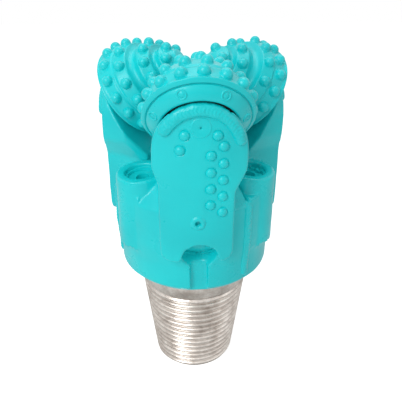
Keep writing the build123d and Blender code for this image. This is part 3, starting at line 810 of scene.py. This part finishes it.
for number in legNumbers:
    mesh = beadMesh(f"hardfacingBead_{number}", shirttailPath(number), shirttail["beadWidth"] * mm,
                    shirttail["beadHeight"] * mm, shirttail["ripple"], number * shirttail["seed"])
    piece = addPiece(f"hardfacingBead_{number}", mesh, "bit_body", weldPaint)
    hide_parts(f"hardfacing_{number}")
print("hardfacing laid")

# seam beads between the legs, in mm, up the body as (out, height)
seam = {
    "angle": 36.0, "width": 6.5, "height": 1.7,
    "ripple": 0.13, "ripples": 0.2, "points": 181, "seed": 3.1,
}
seamOutline = [(57.0, 103.0), (57.15, 118.0), (58.4, 130.0), (58.4, 158.0), (56.0, 163.0)]


# points spread evenly along an outline
def alongOutline(points, count):
    lengths = [math.dist(a, b) for a, b in zip(points, points[1:])]
    whole = sum(lengths)
    result = []
    for index in range(count):
        left = whole * index / (count - 1)
        for (a, b), length in zip(zip(points, points[1:]), lengths):
            if left <= length + 1e-9:
                share = left / length
                result.append((a[0] + (b[0] - a[0]) * share, a[1] + (b[1] - a[1]) * share))
                break
            left -= length
    return result


for number in legNumbers:
    angle = math.radians(seam["angle"]) + (number - 1) * legPitch
    normal = Vector((math.sin(angle), -math.cos(angle), 0))
    side = Vector((math.cos(angle), math.sin(angle), 0))
    points = alongOutline(seamOutline, seam["points"])
    centre = [normal * radius * mm + Vector((0, 0, height * mm)) for radius, height in points]
    path = centre, [side] * seam["points"], [normal] * seam["points"]
    mesh = beadMesh(f"seamWeld_{number}", path, seam["width"] * mm, seam["height"] * mm,
                    seam["ripple"], seam["seed"] + number, seam["ripples"])
    piece = addPiece(f"seamWeld_{number}", mesh, "bit_body", weldPaint)
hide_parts("seam_welds")
print("seams welded")


# the plug of each ball hole is welded over and painted, which leaves a round scar, in mm
scar = {"radius": 5.6, "height": 221.5, "padRadius": 67.0, "steps": 48}
scarOutline = [(scar["radius"] + 1.1, -0.45), (scar["radius"] + 0.5, 0.16), (scar["radius"], 0.3),
               (scar["radius"] - 0.6, 0.1), (scar["radius"] - 1.1, 0.04), (0.95, 0.04), (0.7, -0.1),
               (0.6, -1.2), (0.0, -1.25)]
for number in legNumbers:
    verts, faces = [], []
    latheInto(verts, faces, scarOutline, Matrix.Identity(4), scar["steps"])
    out = Vector((0, -1, 0))
    place = turnOf(number) @ facing(out * scar["padRadius"] * mm + Vector((0, 0, scar["height"] * mm)), out)
    for vert in verts:
        vert.z -= vert.x**2 / (2 * scar["padRadius"])  # the scar hugs the round pad
    verts = [place @ (vert * mm) for vert in verts]
    mesh = meshFrom(f"ballHoleScar_{number}", verts, faces)
    piece = addPiece(f"ballHoleScar_{number}", mesh, "bit_body", castPaint)
    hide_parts(f"ball_plug_{number}")

# grease plug: a low painted ring round a hole
plugBoss = {
    "radius": 4.4 * mm, "hole": 1.9 * mm, "height": 1.0 * mm,
    "sideways": -1.5 * mm, "padRadius": 67 * mm, "steps": 36,
}
ring = plugBoss["radius"]
plugOutline = [(ring + 1.0 * mm, -0.4 * mm), (ring + 0.3 * mm, 0.15 * mm), (ring - 0.2 * mm, 0.7 * mm),
               (ring - 0.8 * mm, plugBoss["height"]), (plugBoss["hole"] + 0.6 * mm, plugBoss["height"]),
               (plugBoss["hole"], 0.6 * mm), (plugBoss["hole"], -3.0 * mm), (0.0, -3.1 * mm)]
for number in legNumbers:
    lowest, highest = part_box("grease_plug_1")
    x, z = plugBoss["sideways"], (lowest[2] + highest[2]) / 2
    normal = Vector((x, -math.sqrt(plugBoss["padRadius"] ** 2 - x**2), 0))
    place = turnOf(number) @ facing(normal + Vector((0, 0, z)), normal)
    piece = lathePiece(f"greasePlugBoss_{number}", plugOutline, [place], "bit_body", paint,
                       plugBoss["steps"])
    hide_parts(f"grease_plug_{number}")
print("plugs fitted")


# pale floor, soft light and the camera
studio = {
    "worldStrength": 0.38, "floorGlow": 0.72, "floorHalf": 3.0,
    "floorColour": (0.9, 0.9, 0.9, 1), "floorRoughness": 0.9,
}
lamps = {
    "keyLight": {"place": (-0.55, -0.75, 0.75), "target": (0, 0, 0.16), "size": (0.5, 0.7), "power": 6.0},
    "topLight": {"place": (0.05, 0.15, 1.0), "target": (0, 0, 0.2), "size": (0.6, 0.6), "power": 2.0},
    "fillLight": {"place": (0.8, -0.5, 0.35), "target": (0, 0, 0.14), "size": (0.5, 0.7), "power": 0.6},
}
viewpoint = {
    "distance": 314.3 * mm, "height": 300.9 * mm, "pitch": 23.9, "azimuth": -3.5,
    "sensor": 36, "zoom": 450 / 402,  # focal length over the sensor's width
    "shift": (0.0174, -0.0587), "nearest": 0.01,
}

floorMaterial, floorTree, floorShader = newMaterial("paleFloor")
floorShader.inputs["Base Color"].default_value = studio["floorColour"]
floorShader.inputs["Roughness"].default_value = studio["floorRoughness"]
floorShader.inputs["Specular IOR Level"].default_value = 0.0
floorShader.inputs["Emission Color"].default_value = (1, 1, 1, 1)
floorRays = floorTree.nodes.new("ShaderNodeLightPath")
onSight = mathNode(floorTree, "MAXIMUM", floorRays.outputs["Is Camera Ray"],
                   floorRays.outputs["Is Transmission Ray"])
glow = mathNode(floorTree, "MULTIPLY", onSight, studio["floorGlow"])
link(floorTree, glow, floorShader.inputs["Emission Strength"])
half = studio["floorHalf"]
floorMesh = meshFrom("floor", [(-half, -half, 0), (half, -half, 0), (half, half, 0), (-half, half, 0)],
                     [(0, 1, 2, 3)])
floor = bpy.data.objects.new("floor", floorMesh)
bpy.context.scene.collection.objects.link(floor)
floorMesh.materials.append(floorMaterial)

world = bpy.data.worlds.new("softWhite")
bpy.context.scene.world = world
world.use_nodes = True
worldTree = world.node_tree
sky = worldTree.nodes["Background"]
sky.inputs["Color"].default_value = (1, 1, 1, 1)
rays = worldTree.nodes.new("ShaderNodeLightPath")
seen = mathNode(worldTree, "MAXIMUM", rays.outputs["Is Camera Ray"], rays.outputs["Is Transmission Ray"])
seen = mathNode(worldTree, "MAXIMUM", seen, rays.outputs["Is Glossy Ray"])
level = mathNode(worldTree, "MULTIPLY", seen, 1 - studio["worldStrength"])
link(worldTree, mathNode(worldTree, "ADD", level, studio["worldStrength"]), sky.inputs["Strength"])


for name, settings in lamps.items():
    light = bpy.data.lights.new(name, "AREA")
    light.shape = "RECTANGLE"
    light.size, light.size_y = settings["size"]
    light.energy = settings["power"]
    lamp = bpy.data.objects.new(name, light)
    bpy.context.scene.collection.objects.link(lamp)
    lamp.location = settings["place"]
    aim = Vector(settings["target"]) - Vector(settings["place"])
    lamp.rotation_euler = aim.to_track_quat("-Z", "Y").to_euler()

camera = bpy.data.cameras.new("camera")
camera.lens = viewpoint["zoom"] * viewpoint["sensor"]
camera.sensor_width = viewpoint["sensor"]
camera.clip_start = viewpoint["nearest"]
camera.shift_x, camera.shift_y = viewpoint["shift"]
cameraObject = bpy.data.objects.new("camera", camera)
bpy.context.scene.collection.objects.link(cameraObject)
bearing, pitch = math.radians(viewpoint["azimuth"]), math.radians(viewpoint["pitch"])
cameraObject.location = (viewpoint["distance"] * math.sin(bearing),
                         -viewpoint["distance"] * math.cos(bearing), viewpoint["height"])
look = Vector((-math.sin(bearing) * math.cos(pitch), math.cos(bearing) * math.cos(pitch), -math.sin(pitch)))
cameraObject.rotation_euler = look.to_track_quat("-Z", "Y").to_euler()
bpy.context.scene.camera = cameraObject
bpy.context.scene.view_settings.view_transform = "Standard"
print("studio ready")
